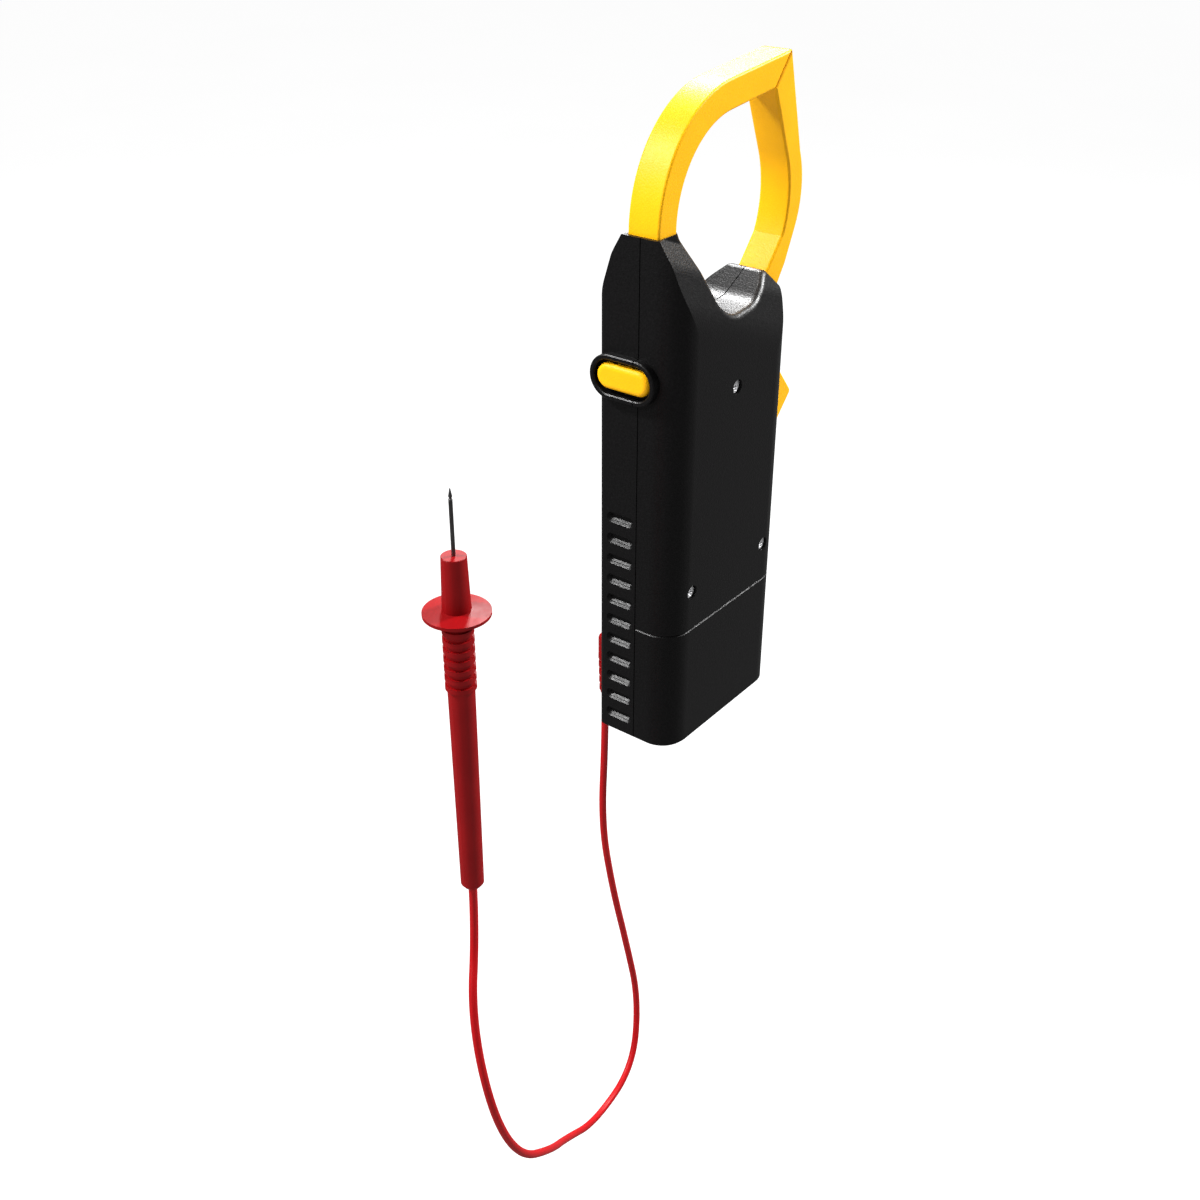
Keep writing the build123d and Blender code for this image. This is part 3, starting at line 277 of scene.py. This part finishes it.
class Prints:
    """Collects thin printed shapes that lie on planes facing the front."""

    def __init__(self):
        self.vertices = []
        self.faces = []

    def plate(self, outline, y):
        """One convex outline of (x, height) points as a thin plate that stands on depth y."""
        first = len(self.vertices)
        count = len(outline)
        for depth in (y, y - PRINT_THICKNESS):
            self.vertices += [at(x, depth, height) for x, height in outline]
        self.faces.append([first + index for index in range(count)][::-1])
        self.faces.append([first + count + index for index in range(count)])
        for index in range(count):
            after = (index + 1) % count
            self.faces.append([first + index, first + after, first + count + after, first + count + index])

    def bar(self, start, end, width, y):
        """Stroke between two points with square ends."""
        along = Vector((end[0] - start[0], end[1] - start[1])).normalized() * width / 2
        side = Vector((-along.y, along.x))
        self.plate([(start[0] + side.x, start[1] + side.y), (start[0] - side.x, start[1] - side.y),
                    (end[0] - side.x, end[1] - side.y), (end[0] + side.x, end[1] + side.y)], y)

    def dot(self, x, height, radius, y):
        """Round dot."""
        self.plate([(x + radius * math.cos(turn), height + radius * math.sin(turn))
                    for turn in circle(DOT_SIDES)], y)

    def make(self, name, material, body):
        """Turn what was collected into one object."""
        add_mesh(name, self.vertices, self.faces, material, body)


# ---------------------------------------------------------------- test lead

LEAD_DIAMETER = 2.85 * MM

# The same route as the CAD tube's: (x, y, height) in millimetres, from the plug to the probe.
LEAD_ROUTE = [
    (19.0, -24.8, 2.5),
    (19.0, -24.8, -20.0),
    (25.0, -22.0, -56.0),
    (19.0, -21.0, -93.0),
    (9.0, -21.0, -131.0),
    (3.0, -18.0, -168.0),
    (16.0, -11.0, -196.0),
    (48.0, -8.0, -200.0),
    (77.0, 0.0, -176.0),
    (104.0, 15.0, -145.0),
    (132.0, 25.0, -114.0),
    (147.0, 27.0, -77.0),
    (143.0, 16.0, -43.0),
    (128.0, 5.5, -21.0),
    (128.0, 5.5, -1.5),
]


def make_lead(material):
    """The test lead as a smooth cord through its route."""
    curve = bpy.data.curves.new("test_lead_cord", "CURVE")
    curve.dimensions = "3D"
    curve.bevel_depth = LEAD_DIAMETER / 2
    curve.bevel_resolution = 8
    curve.resolution_u = 24
    spline = curve.splines.new("NURBS")
    spline.points.add(len(LEAD_ROUTE) - 1)
    for point, place in zip(spline.points, LEAD_ROUTE):
        point.co = (*at(*place), 1)
    spline.order_u = 3
    spline.use_endpoint_u = True
    lead = bpy.data.objects.new("test_lead_cord", curve)
    bpy.context.scene.collection.objects.link(lead)
    curve.materials.append(material)
    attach(lead, "lead")
    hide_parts("test_lead")


# ---------------------------------------------------------------- CAD nodes

def paint_cad_nodes(made):
    """Give every CAD node the finish of its slot in the record."""
    for entry in frame["record"]["subparts"]:
        slots = nodes[entry["node"]].data.materials
        slots.clear()
        slots.append(made[entry["material_slot"]])


# ---------------------------------------------------------------- floor and backdrop

FLOOR_HEIGHT = -0.5
FLOOR_REACH = 30.0
FLOOR_GLOW = 0.95
WALL_REACH = 9.0
WALL_TURNS = 96
WALL_HEIGHTS = (FLOOR_HEIGHT - 0.5, 60.0)


def make_backdrop():
    """Far round white wall, which only the camera sees, so that no view has a dark horizon."""
    corners = [(WALL_REACH * math.cos(turn), WALL_REACH * math.sin(turn), height)
               for height in WALL_HEIGHTS for turn in circle(WALL_TURNS)]
    faces = [(index, (index + 1) % WALL_TURNS, WALL_TURNS + (index + 1) % WALL_TURNS, WALL_TURNS + index)
             for index in range(WALL_TURNS)]
    mesh = bpy.data.meshes.new("backdrop")
    mesh.from_pydata(corners, [], faces)
    wall = bpy.data.objects.new("backdrop", mesh)
    bpy.context.scene.collection.objects.link(wall)
    shader = Shader("backdrop")
    shader.colour(shader.noise(2, 2), (0.02, 0.02, 0.02), (0.03, 0.03, 0.03))
    shader.set(Roughness=1.0, Emission_Color=(1, 1, 1, 1), Emission_Strength=1.0)
    mesh.materials.append(shader.material)
    wall.visible_diffuse = False
    wall.visible_glossy = False
    wall.visible_transmission = False
    wall.visible_shadow = False


def make_floor():
    """Pale floor with a glow of its own, left out of reflections so that the black case stays black."""
    mesh = bpy.data.meshes.new("floor")
    corners = [(side_x * FLOOR_REACH, side_y * FLOOR_REACH, FLOOR_HEIGHT)
               for side_x, side_y in ((-1, -1), (1, -1), (1, 1), (-1, 1))]
    mesh.from_pydata(corners, [], [(0, 1, 2, 3)])
    floor = bpy.data.objects.new("floor", mesh)
    bpy.context.scene.collection.objects.link(floor)
    shader = Shader("floor")
    shader.colour(shader.noise(3, 3), (0.10, 0.10, 0.10), (0.12, 0.12, 0.12))
    shader.set(Roughness=0.9, Specular_IOR_Level=0.0)
    shader.set(Emission_Color=(1, 1, 1, 1), Emission_Strength=FLOOR_GLOW)
    mesh.materials.append(shader.material)
    floor.visible_glossy = False


# ---------------------------------------------------------------- case screws

SCREW_PLACES = [(-22.6, 62.0), (22.6, 62.0), (0.0, 130.5)]
SCREW_HEAD_RADIUS = 2.35
SCREW_HEAD_TOP = 15.15
SCREW_HEAD_THICKNESS = 1.9
SCREW_DOME = 0.45
SCREW_SHANK_RADIUS = 1.4
SCREW_LENGTH = 19.0
CROSS_DEPTH = 1.15
CROSS_REACH = 1.45
CROSS_WIDTH = 0.24
CROSS_SLOPE = 0.14
CROSS_FLAT = 0.55
THREAD_COUNT = 17
THREAD_PITCH = 0.9
THREAD_START = 2.0
THREAD_ROOT = 0.82
THREAD_CREST = 0.45
SCREW_POINT_RADIUS = 0.3
SCREW_FLATNESS = 0.92
SCREW_RIM = 0.08
RING_STEPS = 72
RADIAL_STEPS = 30


def screw_surface(x, y):
    """Height of a pan head above its rim, with the cross recess cut into it."""
    distance = math.hypot(x, y) / SCREW_HEAD_RADIUS
    dome = SCREW_DOME * (math.sqrt(max(0.0, 1 - SCREW_FLATNESS * distance ** 2)) - math.sqrt(SCREW_RIM))
    reach = max(abs(x), abs(y))
    width = min(abs(x), abs(y))
    across = min(1.0, max(0.0, (width - CROSS_WIDTH) / CROSS_SLOPE))
    along = min(1.0, max(0.0, (reach - CROSS_FLAT * CROSS_REACH) / ((1 - CROSS_FLAT) * CROSS_REACH)))
    recess = CROSS_DEPTH * (1 - across) * (1 - along ** 1.5)
    return dome - recess


def make_screws(material):
    """Three cross-recessed pan-head screws in place of the plain CAD ones."""
    vertices, faces = [], []
    turns = circle(RING_STEPS)
    rim = SCREW_HEAD_TOP - SCREW_DOME
    below = SCREW_HEAD_TOP - SCREW_HEAD_THICKNESS
    profile = [(SCREW_HEAD_RADIUS, below), (SCREW_SHANK_RADIUS, below)]
    for index in range(THREAD_COUNT):
        thread_y = below - THREAD_START - THREAD_PITCH * index
        profile += [(SCREW_SHANK_RADIUS * THREAD_ROOT, thread_y),
                    (SCREW_SHANK_RADIUS, thread_y - THREAD_CREST * THREAD_PITCH)]
    profile += [(SCREW_POINT_RADIUS, SCREW_HEAD_TOP - SCREW_LENGTH)]
    for place_x, place_height in SCREW_PLACES:
        first = len(vertices)
        rings = []
        for step in range(1, RADIAL_STEPS + 1):
            radius = SCREW_HEAD_RADIUS * step / RADIAL_STEPS
            rings.append([(radius * math.cos(turn), radius * math.sin(turn)) for turn in turns])
        vertices.append(at(place_x, rim + screw_surface(0, 0), place_height))
        for ring in rings:
            vertices += [at(place_x + x, rim + screw_surface(x, y), place_height + y) for x, y in ring]
        for radius, y in profile:
            vertices += [at(place_x + radius * math.cos(turn), y, place_height + radius * math.sin(turn))
                         for turn in turns]
        faces += [(first, first + 1 + index, first + 1 + (index + 1) % RING_STEPS)
                  for index in range(RING_STEPS)]
        for ring in range(RADIAL_STEPS - 1 + len(profile)):
            row = first + 1 + ring * RING_STEPS
            for index in range(RING_STEPS):
                after = (index + 1) % RING_STEPS
                faces.append((row + index, row + RING_STEPS + index, row + RING_STEPS + after, row + after))
        last = first + 1 + (RADIAL_STEPS - 1 + len(profile)) * RING_STEPS
        faces.append(tuple(last + index for index in range(RING_STEPS)))
    screws = add_mesh("case_screw_set", vertices, faces, material, "case", 35)
    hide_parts("case_screws")


# ---------------------------------------------------------------- front of the meter

CASE_FRONT = -15.75
DIAL_FLOOR = CASE_FRONT + 0.5
KNOB_HEIGHT = 114.0
DETENT_COUNT = 12
KNOB_SWEEP = math.radians(150)
DISPLAY_FRONT = -13.55
WINDOW_HEIGHT = 79.5
DIGIT_COUNT = 3
DIGIT_LEFT = -14.5
DIGIT_PITCH = 11.5
DIGIT_SIZE = (7.0, 14.0)
DIGIT_STROKE = 1.9
DIGIT_SLANT = 0.08
DIGIT_GAP = 0.45
POINT_OFFSET = 2.0
POINT_RADIUS = 0.8
SCALE_MARKS = 9
SCALE_PITCH = 5.0
SCALE_BOTTOM = -9.6
SCALE_TOP = -8.8
SCALE_LONGER = 0.5
SCALE_LONG_EVERY = 4
SCALE_WIDTH = 0.35

# The six outer segments of a seven-segment digit, as pairs of (side, level) corners: together a zero.
ZERO_SEGMENTS = [((0, 2), (1, 2)), ((1, 2), (1, 1)), ((1, 1), (1, 0)), ((1, 0), (0, 0)), ((0, 0), (0, 1)),
                 ((0, 1), (0, 2))]


def make_digits(material):
    """Seven-segment zeros on the display glass, with a decimal point and a row of scale marks."""
    prints = Prints()
    width, height = DIGIT_SIZE
    for place in range(DIGIT_COUNT):
        left = DIGIT_LEFT + place * DIGIT_PITCH
        for segment in ZERO_SEGMENTS:
            points = []
            for x, level in segment:
                rise = level * height / 2
                points.append(Vector((left + x * width + DIGIT_SLANT * rise,
                                      WINDOW_HEIGHT - height / 2 + rise)))
            gap = (points[1] - points[0]).normalized() * DIGIT_GAP
            start, end = points[0] + gap, points[1] - gap
            along = gap.normalized() * DIGIT_STROKE / 2
            side = Vector((-along.y, along.x))
            prints.plate([tuple(point) for point in (start, start + along + side, end - along + side, end,
                                                     end - along - side, start + along - side)],
                         DISPLAY_FRONT)
    prints.dot(DIGIT_LEFT + (DIGIT_COUNT - 1) * DIGIT_PITCH - POINT_OFFSET, WINDOW_HEIGHT - height / 2,
               POINT_RADIUS, DISPLAY_FRONT)
    for index in range(SCALE_MARKS):
        x = SCALE_PITCH * (index - (SCALE_MARKS - 1) / 2)
        top = SCALE_TOP + (index % SCALE_LONG_EVERY == 0) * SCALE_LONGER
        prints.bar((x, WINDOW_HEIGHT + SCALE_BOTTOM), (x, WINDOW_HEIGHT + top), SCALE_WIDTH, DISPLAY_FRONT)
    prints.make("display_segments", material, "case")


NUMERAL_DEPTH = 0.03


def make_numerals(labels, size, y, name, material, body):
    """Printed numerals: (text, x, height) for each, centred, facing the front."""
    vertices, faces = [], []
    for text, centre_x, centre_height in labels:
        curve = bpy.data.curves.new(name, "FONT")
        curve.body = text
        curve.size = size
        curve.align_x = "CENTER"
        curve.align_y = "CENTER"
        curve.extrude = NUMERAL_DEPTH
        source = bpy.data.objects.new(name, curve)
        bpy.context.scene.collection.objects.link(source)
        bpy.context.view_layer.update()
        mesh = source.to_mesh()
        first = len(vertices)
        for vertex in mesh.vertices:
            x, up, out = vertex.co
            vertices.append(at(centre_x + x, y - NUMERAL_DEPTH - out, centre_height + up))
        faces += [[first + index for index in polygon.vertices] for polygon in mesh.polygons]
        source.to_mesh_clear()
        bpy.data.objects.remove(source)
        bpy.data.curves.remove(curve)
    add_mesh(name, vertices, faces, material, body)


DIAL_NUMERALS = ["0", "2", "20", "200", "1000", "200", "20", "2", "200", "20", "2", "20", "0"]
TICK_RADII = (20.4, 21.5)
TICK_WIDTH = 0.5
NUMERAL_SIZE = 2.6
NUMERAL_REACH = 24.6
NUMERAL_RISE = 19.9 * 1.02
STEEPEST = 0.87
NUMERAL_FREE_WIDTH = 14
POINTER_RADII = (11.2, 15.6)
POINTER_WIDTH = 0.8
POINTER_FLOOR = CASE_FRONT - 5.0


def make_dial(material):
    """Tick marks and numerals around the knob, and the knob's own pointer."""
    prints = Prints()
    labels = []
    for index, text in enumerate(DIAL_NUMERALS):
        angle = math.pi / 2 + KNOB_SWEEP - 2 * KNOB_SWEEP * index / DETENT_COUNT
        outward = Vector((math.cos(angle), math.sin(angle)))
        inner, outer = outward * TICK_RADII[0], outward * TICK_RADII[1]
        prints.bar((inner.x, KNOB_HEIGHT + inner.y), (outer.x, KNOB_HEIGHT + outer.y), TICK_WIDTH, DIAL_FLOOR)
        side_room = NUMERAL_REACH / max(abs(outward.x), STEEPEST)
        labels.append((text, outward.x * side_room, KNOB_HEIGHT + outward.y * NUMERAL_RISE))
    spread = [label for label in labels if abs(label[1]) > NUMERAL_FREE_WIDTH]
    prints.make("dial_ticks", material, "case")
    make_numerals(spread, NUMERAL_SIZE, DIAL_FLOOR, "dial_numerals", material, "case")
    pointer = Prints()
    pointer.bar((0, KNOB_HEIGHT + POINTER_RADII[0]), (0, KNOB_HEIGHT + POINTER_RADII[1]), POINTER_WIDTH,
                POINTER_FLOOR)
    pointer.make("knob_pointer", material, "knob")


JACK_PITCH = 19.0
JACK_HEIGHT = 26.0
COLLAR_STEPS = 64
COLLAR_PROFILE = [(2.95, -14.95), (2.95, -15.45), (3.25, -15.7), (4.75, -15.7), (5.05, -15.4),
                  (5.05, -14.95)]


def make_jack_collars(made):
    """Stepped insulating collars around the three jacks."""
    for place, name, finish in ((-1, "ext", "wire"), (0, "com", "wire"), (1, "volt", "lead_red")):
        centre = JACK_PITCH * place
        vertices = [at(centre + radius * math.cos(turn), y, JACK_HEIGHT + radius * math.sin(turn))
                    for radius, y in COLLAR_PROFILE for turn in circle(COLLAR_STEPS)]
        faces = []
        for row in range(len(COLLAR_PROFILE)):
            here = row * COLLAR_STEPS
            there = (row + 1) % len(COLLAR_PROFILE) * COLLAR_STEPS
            for step in range(COLLAR_STEPS):
                after = (step + 1) % COLLAR_STEPS
                faces.append((here + step, there + step, there + after, here + after))
        add_mesh(f"jack_collar_{name}", vertices, faces, made[finish], "case", 40)


make_camera()
make_lights()
make_floor()
make_backdrop()
materials = make_materials()
paint_cad_nodes(materials)
make_lead(materials["cord_red"])
make_screws(materials["screw_chrome"])
make_digits(materials["segment_ink"])
make_dial(materials["print_white"])
make_jack_collars(materials)
